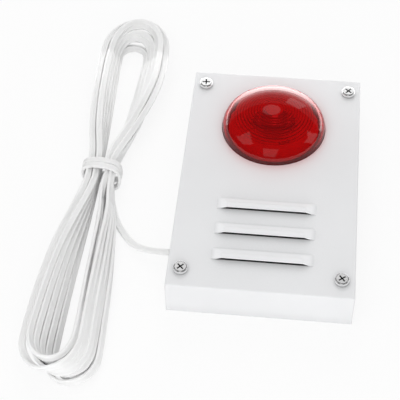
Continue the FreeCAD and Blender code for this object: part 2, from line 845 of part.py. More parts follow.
def make_flash_unit():
    """Moulded holder on the strobe board, reflector dish on the holder and U-shaped flash tube in both."""
    middle = (ZERO, lens_place)
    holder_top = board_top + s.holder_height
    legs = [(-s.tube_spread, lens_place), (s.tube_spread, lens_place)]
    bore = s.tube_radius + s.tube_clearance
    tube_foot = holder_top - s.tube_depth
    holder = rod("holder_post", (*middle, board_top), s.holder_radius, s.holder_height)
    sockets = [rod(f"holder_socket_{number}", (*leg, tube_foot), bore, s.tube_depth)
               for number, leg in enumerate(legs)]
    node(cut("holder", holder, *sockets), "flash_tube_holder")

    dish = spun("dish_spun", [
        (ZERO, holder_top),
        (s.dish_flat, holder_top),
        (s.dish_radius, holder_top + s.dish_height),
        (s.dish_radius, holder_top + s.dish_height + s.dish_sheet),
        (s.dish_flat, holder_top + s.dish_sheet),
        (ZERO, holder_top + s.dish_sheet),
    ], (*middle, 0))
    dish_holes = [rod(f"dish_hole_{number}", (*leg, holder_top), bore, s.dish_sheet)
                  for number, leg in enumerate(legs)]
    node(cut("dish", dish, *dish_holes), "reflector_dish")

    leg_length = s.tube_depth + s.tube_leg
    glass = [rod(f"tube_leg_{number}", (*leg, tube_foot), s.tube_radius, leg_length)
             for number, leg in enumerate(legs)]
    bend = doc.addObject("Part::Torus", "tube_bend")
    bind(bend, Radius1=s.tube_spread, Radius2=s.tube_radius)
    bend.Angle3 = 180
    place(bend, (*middle, tube_foot + leg_length), Rotation(Vector(1, 0, 0), 90))
    node(join("tube", *glass, bend), "flash_tube")

    loop_foot = holder_top + s.dish_height
    loop = ring("trigger_loop", (*legs[1], loop_foot), bore + s.trigger_radius * 2, bore,
                s.trigger_radius * 2)
    lead_place = (s.tube_spread + bore + s.trigger_radius, lens_place)
    lead = rod("trigger_lead", (*lead_place, holder_top + s.dish_sheet), s.trigger_radius,
               loop_foot - holder_top)
    node(join("trigger", loop, lead), "trigger_wire")


def make_strobe_parts():
    """Storage capacitor, inverter transformer and trigger coil on the strobe board."""
    capacitor = rod(
        "capacitor_can",
        (s.part_place, lens_place - s.capacitor_length / 2, board_top + s.capacitor_radius),
        s.capacitor_radius, s.capacitor_length, Vector(0, 1, 0),
    )
    node(capacitor, "flash_capacitor")
    make_transformer("inverter_transformer", (-s.part_place, lens_place + s.inverter_offset),
                     (s.inverter_width, s.inverter_length, s.inverter_height))
    make_transformer("trigger_coil", (-s.part_place, lens_place + s.trigger_offset),
                     (s.trigger_width, s.trigger_length, s.trigger_height))


def make_transformer(name, middle, extent):
    """A wound bobbin between the legs of a ferrite core."""
    half_x, half_y = extent[0] / 2, extent[1] / 2
    top = board_top + extent[2]
    low = (middle[0] - half_x, middle[1] - half_y, board_top)
    high = (middle[0] + half_x, middle[1] + half_y, top)
    core = block(name + "_core", low, high)
    foot, ceiling = board_top + s.groove_inset, top - s.groove_inset
    near = block(name + "_near", (low[0], low[1], foot), (high[0], low[1] + s.groove_depth, ceiling))
    far = block(name + "_far", (low[0], high[1] - s.groove_depth, foot), (high[0], high[1], ceiling))
    return node(cut(name + "_cut", core, near, far), name)


def make_siren_parts():
    """Terminal block, oscillator chip, driver transistors and smoothing capacitor on the siren board."""
    y = siren_board_place
    make_terminal_block()
    half_width, half_length = s.chip_width / 2, s.chip_length / 2
    chip = block("chip", (s.chip_place - half_width, y - half_length, board_top),
                 (s.chip_place + half_width, y + half_length, board_top + s.chip_height))
    node(chip, "siren_chip")
    transistors = []
    y_low, y_high = y - s.transistor_case / 2, y + s.transistor_case / 2
    for number, side in enumerate((-1, 1)):
        middle = s.transistor_place + s.transistor_pitch / 2 * side
        x_low, x_high = middle - s.transistor_width / 2, middle + s.transistor_width / 2
        case = block(f"transistor_case_{number}", (x_low, y_low, board_top),
                     (x_high, y_high, board_top + s.transistor_height))
        tab = block(f"transistor_tab_{number}", (x_low, y_high - s.tab_sheet, board_top),
                    (x_high, y_high, board_top + s.tab_height))
        transistors.append(join(f"transistor_{number}", case, tab))
    node(group("transistor_pair", transistors), "driver_transistors")
    can = rod("smoothing_can", (s.smoothing_place, y + s.smoothing_offset, board_top), s.smoothing_radius,
              s.smoothing_height)
    node(can, "smoothing_capacitor")


terminal_left = s.terminal_inset - s.siren_board_width / 2
entry_floor = board_top + s.entry_foot


def make_terminal_block():
    """Block with two wire entries towards the left, and a screw in a well above each."""
    y = siren_board_place
    middle = terminal_left + s.terminal_width / 2
    top = board_top + s.terminal_height
    half_length = s.terminal_length / 2
    blank = block("terminal_blank", (terminal_left, y - half_length, board_top),
                  (terminal_left + s.terminal_width, y + half_length, top))
    openings = []
    screws = []
    for number, side in enumerate((-1, 1)):
        along = y + s.terminal_pitch / 2 * side
        openings.append(
            block(f"terminal_entry_{number}", (terminal_left, along - s.entry_width / 2, entry_floor),
                  (middle, along + s.entry_width / 2, entry_floor + s.entry_width))
        )
        well_floor = (middle, along, top - s.well_depth)
        openings.append(rod(f"terminal_well_{number}", well_floor, s.well_radius, s.well_depth))
        screws.append(rod(f"terminal_screw_{number}", well_floor, s.well_radius - s.well_clearance,
                          s.terminal_screw_height))
    node(cut("terminal_cut", blank, *openings), "terminal_block")
    node(group("terminal_screw_pair", screws), "terminal_screws")


# Cable, gland and clamp


def make_gland():
    """Rubber grommet in the cover's left wall."""
    wall_foot = s.gland_flange
    wall_top = s.gland_flange + s.cover_sheet
    total = wall_top + s.gland_flange
    bore = s.cord_width / 2 + s.gland_clearance
    gland = spun("gland_spun", [
        (bore, ZERO),
        (s.gland_radius, ZERO),
        (s.gland_radius, wall_foot),
        (s.gland_neck, wall_foot),
        (s.gland_neck, wall_top),
        (s.gland_radius, wall_top),
        (s.gland_radius, total),
        (bore, total),
    ], (gland_mouth, cable_place, s.cable_height), Rotation(Vector(0, 0, 1), Vector(1, 0, 0)))
    node(gland, "cable_gland")


gland_mouth = -s.cover_width / 2 - s.gland_flange
saddle_middle = s.saddle_inset - inner_half_width


def make_clamp():
    """Nylon saddle that grips the cord inside the box, and its screw."""
    bore = s.cord_width / 2 + s.gland_clearance
    x_low, x_high = saddle_middle - s.saddle_width / 2, saddle_middle + s.saddle_width / 2
    y_low = cable_place - bore - s.saddle_top
    top = s.cable_height + bore + s.saddle_top
    saddle = block("saddle_blank", (x_low, y_low, s.plate_sheet), (x_high, y_low + s.saddle_length, top))
    passage = rod("saddle_bore", (x_low, cable_place, s.cable_height), bore, s.saddle_width,
                  Vector(1, 0, 0))
    spot = (saddle_middle, y_low + s.saddle_length - s.saddle_screw_inset)
    hole = rod("saddle_hole", (*spot, s.plate_sheet), s.board_screw_radius + s.thread_clearance,
               top - s.plate_sheet)
    node(cut("saddle", saddle, passage, hole), "cord_clamp")
    screw = join(
        "saddle_screw",
        rod("saddle_shank", (*spot, s.plate_sheet), s.board_screw_radius, top - s.plate_sheet),
        rod("saddle_head", (*spot, top), s.board_screw_head, s.board_screw_rise),
    )
    node(screw, "clamp_screw")


def make_inner_cord():
    """The cord's jacketed end in the gland and clamp, and its two wires to the terminal block."""
    end = saddle_middle + s.saddle_width
    jacket = rod("inner_jacket", (gland_mouth, cable_place, s.cable_height), s.cord_width / 2,
                 end - gland_mouth, Vector(1, 0, 0))
    node(jacket, "inner_cord")
    wires = []
    entry_height = entry_floor + s.entry_width / 2
    for number, side in enumerate((-1, 1)):
        start = cable_place + s.wire_width * side * 3 / 5
        entry = siren_board_place + s.terminal_pitch / 2 * side
        lane = end + s.wire_bend - s.wire_width * side * 3 / 5
        wires.append(pipe(
            f"supply_wire_{number}",
            [
                (end, start, s.cable_height),
                (lane, start, s.cable_height),
                (lane, start + s.wire_bend, s.cable_height),
                (lane, start + s.wire_bend * 3, s.cable_height + s.wire_lift),
                (lane, entry - s.wire_bend * 4, s.cable_height + s.wire_lift),
                (terminal_left - s.wire_bend * 2, entry - s.wire_bend, entry_height),
                (terminal_left - s.wire_bend, entry, entry_height),
                (terminal_left, entry, entry_height),
            ],
            s.wire_width,
        ))
    node(group("supply_pair", wires), "supply_wires")


def make_inner_leads():
    """Wires from the siren board to the strobe board and to the loudspeaker tags."""
    low, high = board_top + s.wire_lift, board_top + s.wire_lift * 2
    siren_edge = siren_board_place + s.siren_board_height / 2
    strobe_edge = lens_place - s.strobe_board_height / 2
    links = []
    for number in range(2):
        x = s.link_place + s.wire_pitch * number
        near, far = siren_edge - s.wire_bend, strobe_edge + s.wire_lift
        links.append(pipe(
            f"link_{number}",
            [
                (x, near, board_top),
                (x, near, low),
                (x, siren_edge - s.wire_clearance, high),
                (x, strobe_edge - s.wire_clearance, high),
                (x, far, low),
                (x, far, board_top),
            ],
            s.wire_width,
        ))
    node(group("link_pair", links), "strobe_wires")

    tag_middle = speaker_radius - s.tag_width / 2
    tag_foot = speaker_flange - s.tag_sheet
    diagonal = math.sqrt(0.5)
    board_edge = siren_board_place - s.siren_board_height / 2
    leads = []
    for number, side in enumerate((-1, 1)):
        x = (tag_middle - s.tag_pitch / 2 * side) * diagonal
        y = speaker_place + (tag_middle + s.tag_pitch / 2 * side) * diagonal
        goal = s.lead_place - s.wire_pitch * (number - 1)
        end = board_edge + s.wire_bend + s.wire_width
        leads.append(pipe(
            f"speaker_lead_{number}",
            [
                (x, y, tag_foot),
                (x, y, tag_foot - s.wire_lift),
                (x, y + s.wire_lift, tag_foot - s.wire_lift * 2),
                (goal, end - s.wire_lift, high),
                (goal, end, low),
                (goal, end, board_top),
            ],
            s.wire_width,
        ))
    node(group("speaker_lead_pair", leads), "speaker_wires")


# The free cord: a run on the floor, then a hank tied at its waist

CORD_ROUTE = [
    (-61.5, -55.5, 7.0),
    (-69.5, -55.5, 7.0),
    (-78.0, -53.6, 5.4),
    (-86.5, -49.0, 3.2),
    (-93.0, -42.0, 2.5),
    (-98.8, -34.0, 2.5),
    (-103.3, -25.5, 2.5),
    (-106.3, -16.8, 2.5),
]

# The hank leans: each circle is an x, a y and a radius at the floor, and then the same at hank_height.
UPPER_END = ((-113.6, 135.6, 11.4), (-109.9, 136.5, 28.0))
UPPER_HOLE = (((-113.6, 135.6, 4.8), (-109.9, 136.5, 22.0)), ((-114.2, 44.0, 1.5), (-115.5, 38.0, 2.0)))
LOWER_END = ((-107.4, -144.5, 17.4), (-129.0, -136.5, 19.6))
LOWER_HOLE = (((-107.4, -144.5, 10.9), (-129.4, -136.7, 13.0)), ((-115.0, -27.0, 1.5), (-119.8, -27.0, 2.0)))
WAIST = ((-117.5, 10.0, 13.5), (-117.5, 10.0, 13.5))
WAIST_LENGTH = 70.0
HANK_LAYERS = 5


def belt(ends, level, foot, height):
    """An upright solid over two circles and the lines that touch both, each circle part way up its pair."""
    first, second = ([low + (high - low) * level for low, high in zip(*pair)] for pair in ends)
    across = Vector(second[0] - first[0], second[1] - first[1], 0)
    heading = math.atan2(across.y, across.x)
    lean = math.acos((first[2] - second[2]) / across.Length)

    def on(circle, angle):
        return Vector(circle[0] + circle[2] * math.cos(angle), circle[1] + circle[2] * math.sin(angle), foot)

    left, right = heading + lean, heading - lean
    edges = [
        Part.LineSegment(on(first, right), on(second, right)).toShape(),
        Part.Arc(on(second, right), on(second, heading), on(second, left)).toShape(),
        Part.LineSegment(on(second, left), on(first, left)).toShape(),
        Part.Arc(on(first, left), on(first, heading + math.pi), on(first, right)).toShape(),
    ]
    return Part.Face(Part.Wire(edges)).extrude(Vector(0, 0, height))


def make_cord():
    """The hank's outer shape in layers of turns, and the tube of the single run up to it."""
    height = s.hank_height.value
    thickness = height / HANK_LAYERS
    layers = []
    for number in range(HANK_LAYERS):
        place = (number + 0.5) / HANK_LAYERS, thickness * number, thickness
        layers.append(belt((UPPER_END, WAIST), *place).cut(belt(UPPER_HOLE, *place)))
        layers.append(belt((LOWER_END, WAIST), *place).cut(belt(LOWER_HOLE, *place)))
    across, along, radius = WAIST[0]
    corner = Vector(across - radius * 2, along - WAIST_LENGTH / 2, s.waist_height.value)
    over_waist = Part.makeBox(radius * 4, WAIST_LENGTH, height, corner)
    shape = layers[0].multiFuse(layers[1:]).cut(over_waist).removeSplitter()
    hank = doc.addObject("Part::Feature", "hank")
    hank.Shape = shape.Solids[0]
    run = pipe("cord_run_whole", CORD_ROUTE, s.cord_width)
    trimmed = cut("cord_run_trimmed", run, hank)
    node(trimmed, "supply_cord")
    node(hank, "cord_hank")


def check_and_write():
    """Stops at anything that failed, then writes one file for each sub-part."""
    doc.recompute()
    for item in doc.Objects:
        if any(state in item.State for state in ("Invalid", "Error")):
            raise RuntimeError(f"{item.Name} failed: {item.State}")
    for piece in nodes:
        shape = piece.Shape
        if shape.isNull() or not shape.isValid() or not shape.Solids:
            raise RuntimeError(f"{piece.Label} has no valid solid")
        print(f"{piece.Label}: {len(shape.Solids)} solids, {shape.Volume:.1f} mm3")
        shape.exportStep(f"parts/{piece.Label}.step")


make_front_cover()
make_back_plate()
make_corner_brackets()
make_cover_screws()
make_strobe_lens()
make_lens_seat()
make_studs()
make_speaker()
make_boards()
make_flash_unit()
make_strobe_parts()
make_siren_parts()
make_gland()
make_clamp()
make_inner_cord()
make_inner_leads()
make_cord()
check_and_write()
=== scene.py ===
import math
import random

import bpy
from mathutils import Matrix, Vector

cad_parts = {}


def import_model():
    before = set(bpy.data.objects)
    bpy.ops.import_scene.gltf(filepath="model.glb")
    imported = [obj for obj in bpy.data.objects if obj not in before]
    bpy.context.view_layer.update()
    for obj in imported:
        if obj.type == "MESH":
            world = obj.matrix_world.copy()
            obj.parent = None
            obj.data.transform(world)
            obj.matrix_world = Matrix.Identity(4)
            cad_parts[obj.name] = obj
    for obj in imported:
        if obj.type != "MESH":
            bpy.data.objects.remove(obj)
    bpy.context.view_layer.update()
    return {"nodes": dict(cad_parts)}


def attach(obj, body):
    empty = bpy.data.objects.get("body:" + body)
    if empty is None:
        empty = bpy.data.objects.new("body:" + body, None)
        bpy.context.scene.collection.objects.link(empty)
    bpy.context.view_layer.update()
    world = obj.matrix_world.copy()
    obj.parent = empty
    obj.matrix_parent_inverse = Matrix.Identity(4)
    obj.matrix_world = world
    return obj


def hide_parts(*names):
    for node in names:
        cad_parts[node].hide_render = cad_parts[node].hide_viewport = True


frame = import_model()
nodes = frame["nodes"]
scene = bpy.context.scene
MM = 0.001
LENS_PLACE = 0.0461  # middle of the lens along y
LENS_CENTRE = -0.00722  # centre of its crown's sphere along z
RING_FIRST, RING_PITCH = 0.006, 0.0019  # radius of the first stepped ring, and their pitch
RING_LAST = RING_FIRST + 11 * RING_PITCH
LENS_FOOT_SHADE = (0.028, 0.0365)  # heights between which the lens goes from the painted shade at its foot to its crown's tint
LENS_INSIDE = (0.0528, 0.0538)  # distances from its crown's centre between its two surfaces
HOOD_FOOT = (0.0276, 0.0287)  # heights between which a pressed hood leaves the face
HOOD_CREST = (0.0299, 0.0304)  # heights between which it reaches its crest


# ---------------------------------------------------------------- materials


class Mix:
    """One material's node tree, with short calls for the nodes that most surfaces share."""

    def __init__(self, name):
        self.material = bpy.data.materials.new(name)
        self.material.use_nodes = True
        self.tree = self.material.node_tree
        self.tree.nodes.clear()
        self.out = self.node("ShaderNodeOutputMaterial")
        self.where = self.node("ShaderNodeTexCoord").outputs["Object"]

    def node(self, kind, **settings):
        made = self.tree.nodes.new(kind)
        for key, value in settings.items():
            setattr(made, key, value)
        return made

    def link(self, source, target):
        self.tree.links.new(source, target)

    def place(self, stretch=(1, 1, 1), turn=(0, 0, 0)):
        made = self.node("ShaderNodeMapping")
        made.inputs["Scale"].default_value = stretch
        made.inputs["Rotation"].default_value = turn
        self.link(self.where, made.inputs["Vector"])
        return made.outputs["Vector"]

    def noise(self, scale, detail=3.0, rough=0.5, at=None, distort=0.0):
        made = self.node("ShaderNodeTexNoise")
        made.inputs["Scale"].default_value = scale
        made.inputs["Detail"].default_value = detail
        made.inputs["Roughness"].default_value = rough
        made.inputs["Distortion"].default_value = distort
        self.link(at or self.where, made.inputs["Vector"])
        return made.outputs["Fac"]

    def cells(self, scale, output="Distance", feature="F1"):
        made = self.node("ShaderNodeTexVoronoi", feature=feature)
        made.inputs["Scale"].default_value = scale
        self.link(self.where, made.inputs["Vector"])
        return made.outputs[output]

    def height(self):
        made = self.node("ShaderNodeSeparateXYZ")
        self.link(self.where, made.inputs["Vector"])
        return made.outputs["Z"]

    def ramp(self, value, stops):
        """A colour at each of two places of the value, and a blend of them between the two."""
        made = self.node("ShaderNodeValToRGB")
        for point, (place, colour) in zip(made.color_ramp.elements, stops):
            point.position = place
            point.color = (*colour, 1)
        self.link(value, made.inputs["Fac"])
        return made.outputs["Color"]

    def span(self, value, low, high, start=0.3, stop=0.7):
        made = self.node("ShaderNodeMapRange")
        for key, number in (("From Min", start), ("From Max", stop), ("To Min", low), ("To Max", high)):
            made.inputs[key].default_value = number
        self.link(value, made.inputs["Value"])
        return made.outputs["Result"]

    def math(self, kind, first, second):
        made = self.node("ShaderNodeMath", operation=kind)
        for socket, value in zip(made.inputs, (first, second)):
            if isinstance(value, (int, float)):
                socket.default_value = value
            else:
                self.link(value, socket)
        return made.outputs["Value"]

    def vector(self, kind, first, second=None):
        made = self.node("ShaderNodeVectorMath", operation=kind)
        self.link(first, made.inputs[0])
        if second:
            made.inputs[1].default_value = second
        return made.outputs["Value" if kind == "LENGTH" else "Vector"]

    def blend(self, share, first, second, kind="MIX"):
        made = self.node("ShaderNodeMix", data_type="RGBA", blend_type=kind)
        for socket, value in ((made.inputs[0], share), (made.inputs[6], first), (made.inputs[7], second)):
            if isinstance(value, (int, float)):
                socket.default_value = value
            elif isinstance(value, tuple):
                socket.default_value = (*value, 1)
            else:
                self.link(value, socket)
        return made.outputs[2]

    def painted_hollow_shade(self, reach, stops, own=False):
        """Painted shade in the colour for corners and recesses, within this reach."""
        made = self.node("ShaderNodeAmbientOcclusion", samples=8, only_local=own)
        made.inputs["Distance"].default_value = reach
        return self.ramp(made.outputs["AO"], stops)

    def bump(self, height, depth, strength=1.0, after=None):
        made = self.node("ShaderNodeBump")
        made.inputs["Strength"].default_value = strength
        made.inputs["Distance"].default_value = depth
        self.link(height, made.inputs["Height"])
        if after:
            self.link(after, made.inputs["Normal"])
        return made.outputs["Normal"]

    def shader(self, **values):
        """Principled shader: numbers and colours go to its own sockets, and node outputs are linked."""
        made = self.node("ShaderNodeBsdfPrincipled")
        for key, value in values.items():
            socket = made.inputs[key.replace("_", " ")]
            if isinstance(value, tuple):
                socket.default_value = value if socket.type == "VECTOR" else (*value, 1)
            elif isinstance(value, (int, float)):
                socket.default_value = value
            else:
                self.link(value, socket)
        self.link(made.outputs["BSDF"], self.out.inputs["Surface"])
        return made.outputs["BSDF"]

    def either(self, share, first, second):
        """Surface that goes from the first shader to the second by this share."""
        made = self.node("ShaderNodeMixShader")
        self.link(share, made.inputs["Fac"])
        self.link(first, made.inputs[1])
        self.link(second, made.inputs[2])
        self.link(made.outputs["Shader"], self.out.inputs["Surface"])


def shade(colour, factor):
    return tuple(min(1.0, part * factor) for part in colour)


def mottled(name, colour, spread=0.08, scale=60, rough=(0.4, 0.5), grain=900, depth=0.00002, **more):
    """Moulded or coated surface: cloudy colour, uneven gloss and a fine grain."""
    mix = Mix(name)
    cloud = mix.noise(scale, 4)
    tint = mix.ramp(cloud, ((0.3, shade(colour, 1 - spread)), (0.7, shade(colour, 1 + spread))))
    fine = mix.noise(grain, 2)
    mix.shader(Base_Color=tint, Roughness=mix.span(mix.noise(scale * 3, 3), *rough),
               Normal=mix.bump(fine, depth), **more)
    return mix.material


def metal(name, colour, scale=40, rough=(0.22, 0.38), brush=(60, 1400, 60), depth=0.000012, spangle=0.0):
    """Plated or turned metal with fine drawn lines and cloudy plating."""
    mix = Mix(name)
    cloud = mix.noise(scale, 4, 0.6)
    tint = mix.ramp(cloud, ((0.3, shade(colour, 0.86)), (0.7, shade(colour, 1.08))))
    if spangle:
        flakes = mix.ramp(mix.cells(260, "Color"), ((0.2, (0.82,) * 3), (0.8, (1.0,) * 3)))
        tint = mix.blend(spangle, tint, flakes, "MULTIPLY")
    lines = mix.noise(1.0, 3, 0.6, at=mix.place(brush))
    mix.shader(Base_Color=tint, Metallic=1.0, Roughness=mix.span(lines, *rough),
               Normal=mix.bump(lines, depth))
    return mix.material


def cover_paint():
    """Satin white powder coat, with painted shade on the face beside the pressed hoods and painted light on
    the hoods.
    """
    mix = Mix("cover_paint")
    cloud = mix.noise(14, 3)
    tint = mix.ramp(cloud, ((0.3, (0.875, 0.88, 0.891)), (0.7, (0.913, 0.918, 0.93))))
    # Painted shade: darker near corners and recesses, and broadly darker on the face between the pressed
    # hoods.
    painted_corner_shade = mix.painted_hollow_shade(0.009, ((0.45, (0.9,) * 3), (0.95, (1.0,) * 3)))
    beside = mix.painted_hollow_shade(0.02, ((0.925, (0.785,) * 3), (0.99, (0.91,) * 3)), own=True)
    painted_face_shade = mix.blend(1.0, painted_corner_shade, beside, "MULTIPLY")
    # Painted light: the hoods' slopes and crests are lighter than the painted shade on the face around them.
    rise = mix.height()
    painted_hood_light = mix.ramp(mix.span(rise, 0, 1, *HOOD_CREST), ((0.0, (1.0,) * 3), (1.0, (0.95,) * 3)))
    painted_light_and_shade = mix.blend(mix.span(rise, 0, 1, *HOOD_FOOT), painted_face_shade, painted_hood_light)
    tint = mix.blend(1.0, tint, painted_light_and_shade, "MULTIPLY")
    peel = mix.noise(620, 2, 0.45)
    dust = mix.noise(2600, 1)
    coarse = mix.bump(peel, 0.00003, 0.5)
    mix.shader(Base_Color=tint, Roughness=mix.span(mix.noise(90, 3), 0.48, 0.58), IOR=1.5,
               Coat_Weight=0.04, Coat_Roughness=0.3, Normal=mix.bump(dust, 0.000006, 0.5, coarse))
    return mix.material


def lens_red():
    """Tinted clear plastic: refracts to the eye, and lets the light inside without caustic noise."""
    mix = Mix("lens_red")
    flow = mix.noise(30, 2)
    tint = mix.ramp(flow, ((0.3, (0.74, 0.006, 0.01)), (0.7, (0.80, 0.01, 0.015))))
    # Painted shade: the dome's foot is darker than its crown.
    tint = mix.blend(mix.span(mix.height(), 0, 1, *LENS_FOOT_SHADE), (0.42, 0.004, 0.006), tint)
    # Painted shade: the risers of the stepped rings inside are drawn as darker lines.
    level = mix.vector("SUBTRACT", mix.where, (0, LENS_PLACE, LENS_CENTRE))
    reach = mix.vector("LENGTH", mix.vector("MULTIPLY", level, (1, 1, 0)))
    turns = mix.math("MULTIPLY", mix.math("SUBTRACT", reach, RING_FIRST), 2 * math.pi / RING_PITCH)
    lines = mix.span(mix.math("COSINE", turns, 0), 0, 0.75, 0.2, 0.95)
    inside = mix.span(mix.vector("LENGTH", level), 1, 0, *LENS_INSIDE)
    kept = mix.math("MULTIPLY", mix.span(reach, 0, 1, RING_FIRST * 0.8, RING_FIRST),
                    mix.span(reach, 1, 0, RING_LAST, RING_LAST + MM))
    painted_riser_shade = mix.math("MULTIPLY", mix.math("MULTIPLY", lines, inside), kept)
    tint = mix.blend(painted_riser_shade, tint, (0.22, 0.003, 0.004))
    scuffs = mix.noise(1500, 2)
    solid = mix.shader(Base_Color=tint, Roughness=mix.span(scuffs, 0.02, 0.05), IOR=1.52,
                       Specular_IOR_Level=0.24, Transmission_Weight=0.9,
                       Normal=mix.bump(mix.noise(70, 1), 0.00002, 0.4))
    clear = mix.node("ShaderNodeBsdfTransparent")
    ray = mix.node("ShaderNodeLightPath")
    through = mix.blend(ray.outputs["Is Diffuse Ray"], (0.97, 0.04, 0.04), (0.8, 0.06, 0.06))
    mix.link(through, clear.inputs["Color"])
    soft = mix.math("MAXIMUM", ray.outputs["Is Shadow Ray"], ray.outputs["Is Diffuse Ray"])
    mix.either(soft, solid, clear.outputs["BSDF"])
    return mix.material


def screw_chrome():
    mix = Mix("screw_chrome")
    haze = mix.noise(220, 3)
    tint = mix.ramp(haze, ((0.3, (0.92, 0.92, 0.93)), (0.7, (0.98, 0.98, 0.98))))
    # Painted shade: darker in the head's recess and where the head meets the cover.
    painted_recess_shade = mix.painted_hollow_shade(0.0025, ((0.25, (0.06,) * 3), (0.85, (1.0,) * 3)))
    tint = mix.blend(1.0, tint, painted_recess_shade, "MULTIPLY")
    scratch = mix.noise(1.0, 2, 0.6, at=mix.place((300, 2600, 300), (0, 0, 0.6)))
    mix.shader(Base_Color=tint, Metallic=0.85, Roughness=mix.span(scratch, 0.12, 0.2),
               Normal=mix.bump(scratch, 0.000002))
    return mix.material


def coil_copper():
    mix = Mix("coil_copper")
    wave = mix.node("ShaderNodeTexWave", wave_type="BANDS", bands_direction="Z", wave_profile="SIN")
    wave.inputs["Scale"].default_value = 900
    wave.inputs["Distortion"].default_value = 0.3
    mix.link(mix.where, wave.inputs["Vector"])
    tint = mix.ramp(wave.outputs["Fac"], ((0.1, (0.25, 0.09, 0.04)), (0.6, (0.72, 0.34, 0.16))))
    mix.shader(Base_Color=tint, Metallic=0.85, Roughness=mix.span(mix.noise(300), 0.25, 0.4),
               Normal=mix.bump(wave.outputs["Fac"], 0.0001))
    return mix.material


def cone_paper():
    mix = Mix("cone_paper")
    fibre = mix.noise(1.0, 5, 0.7, at=mix.place((700, 2400, 700)), distort=1.2)
    tint = mix.ramp(fibre, ((0.3, (0.055, 0.053, 0.05)), (0.75, (0.17, 0.165, 0.155))))
    mix.shader(Base_Color=tint, Roughness=mix.span(fibre, 0.8, 0.95), Specular_IOR_Level=0.3,
               Normal=mix.bump(fibre, 0.00012))
    return mix.material


def foam_grey():
    mix = Mix("foam_grey")
    pores = mix.cells(1500)
    tint = mix.ramp(pores, ((0.1, (0.03, 0.03, 0.032)), (0.6, (0.2, 0.2, 0.21))))
    mix.shader(Base_Color=tint, Roughness=mix.span(mix.noise(500), 0.85, 1.0), Specular_IOR_Level=0.2,
               Normal=mix.bump(pores, 0.0003))
    return mix.material


def board_green():
    mix = Mix("board_green")
    weave = mix.math("MULTIPLY", mix.noise(1.0, 1, at=mix.place((2200, 60, 60))),
                     mix.noise(1.0, 1, at=mix.place((60, 2200, 60))))
    tracks = mix.cells(150, feature="DISTANCE_TO_EDGE")
    copper = mix.ramp(tracks, ((0.04, (0.035, 0.2, 0.085)), (0.09, (0.012, 0.115, 0.045))))
    mix.shader(Base_Color=copper, Roughness=mix.span(mix.noise(200), 0.25, 0.4), Coat_Weight=0.4,
               Coat_Roughness=0.2, Normal=mix.bump(weave, 0.00003))
    return mix.material


def dish_aluminium():
    mix = Mix("dish_aluminium")
    haze = mix.noise(120, 4)
    tint = mix.ramp(haze, ((0.3, (0.80, 0.80, 0.81)), (0.7, (0.9, 0.9, 0.91))))
    spun = mix.node("ShaderNodeTexWave", wave_type="RINGS", rings_direction="SPHERICAL", wave_profile="SIN")
    spun.inputs["Scale"].default_value = 600
    mix.link(mix.where, spun.inputs["Vector"])
    mix.shader(Base_Color=tint, Metallic=0.35, Roughness=mix.span(haze, 0.3, 0.45),
               Normal=mix.bump(spun.outputs["Fac"], 0.000004))
    return mix.material


def tube_glass():
    mix = Mix("tube_glass")
    film = mix.noise(200, 2)
    tint = mix.ramp(film, ((0.3, (0.93, 0.94, 0.92)), (0.7, (0.99, 0.99, 0.98))))
    mix.shader(Base_Color=tint, Roughness=mix.span(film, 0.01, 0.04), IOR=1.48, Transmission_Weight=0.9,
               Normal=mix.bump(film, 0.00001))
    return mix.material


def cord_white():
    mix = Mix("cord_white")
    cloud = mix.noise(45, 4)
    tint = mix.ramp(cloud, ((0.3, (0.88, 0.88, 0.875)), (0.7, (0.92, 0.92, 0.92))))
    drag = mix.noise(2400, 2)
    mix.shader(Base_Color=tint, Roughness=mix.span(mix.noise(160, 3), 0.34, 0.48), IOR=1.5,
               Subsurface_Weight=0.08, Subsurface_Radius=(0.001, 0.001, 0.001), Subsurface_Scale=0.5,
               Normal=mix.bump(drag, 0.00002, 0.6))
    return mix.material


FINISH = {
    "cover_paint": cover_paint(),
    "plate_zinc": metal("plate_zinc", (0.66, 0.67, 0.69), spangle=0.6),
    "screw_chrome": screw_chrome(),
    "lens_red": lens_red(),
    "rubber_black": mottled("rubber_black", (0.03, 0.03, 0.03), 0.25, 80, (0.6, 0.8), 1500),
    "gland_white": mottled("gland_white", (0.78, 0.78, 0.76), 0.03, 50, (0.45, 0.6), 1200),
    "foam_grey": foam_grey(),
    "basket_black": mottled("basket_black", (0.028, 0.028, 0.028), 0.2, 60, (0.35, 0.5), 800, 0.00004),
    "pole_zinc": metal("pole_zinc", (0.72, 0.62, 0.38), 70, (0.25, 0.42)),
    "ferrite": mottled("ferrite", (0.06, 0.06, 0.065), 0.3, 300, (0.55, 0.75), 1800, 0.00008),
    "coil_copper": coil_copper(),
    "cone_paper": cone_paper(),
    "tag_board": mottled("tag_board", (0.42, 0.27, 0.13), 0.15, 200, (0.5, 0.7), 900, 0.00004),
    "board_green": board_green(),
    "brass_turned": metal("brass_turned", (0.78, 0.58, 0.25), 60, (0.2, 0.34), (40, 40, 2600)),
    "moulding_white": mottled("moulding_white", (0.78, 0.77, 0.72), 0.04, 50, (0.4, 0.55)),
    "dish_aluminium": dish_aluminium(),
    "tube_glass": tube_glass(),
    "can_sleeve": mottled("can_sleeve", (0.035, 0.05, 0.17), 0.15, 70, (0.22, 0.34), 500, Coat_Weight=0.5),
    "terminal_green": mottled("terminal_green", (0.05, 0.33, 0.12), 0.08, 60, (0.3, 0.45)),
    "epoxy_black": mottled("epoxy_black", (0.022, 0.022, 0.024), 0.25, 120, (0.55, 0.7), 1400, 0.00005),
    "wire_sleeve": mottled("wire_sleeve", (0.62, 0.045, 0.035), 0.08, 80, (0.35, 0.5)),
    "cord_white": cord_white(),
}
for item in nodes.values():
    for number, old in enumerate(item.data.materials):
        item.data.materials[number] = FINISH[old.name.split(".")[0]]


# ---------------------------------------------------------------- cord


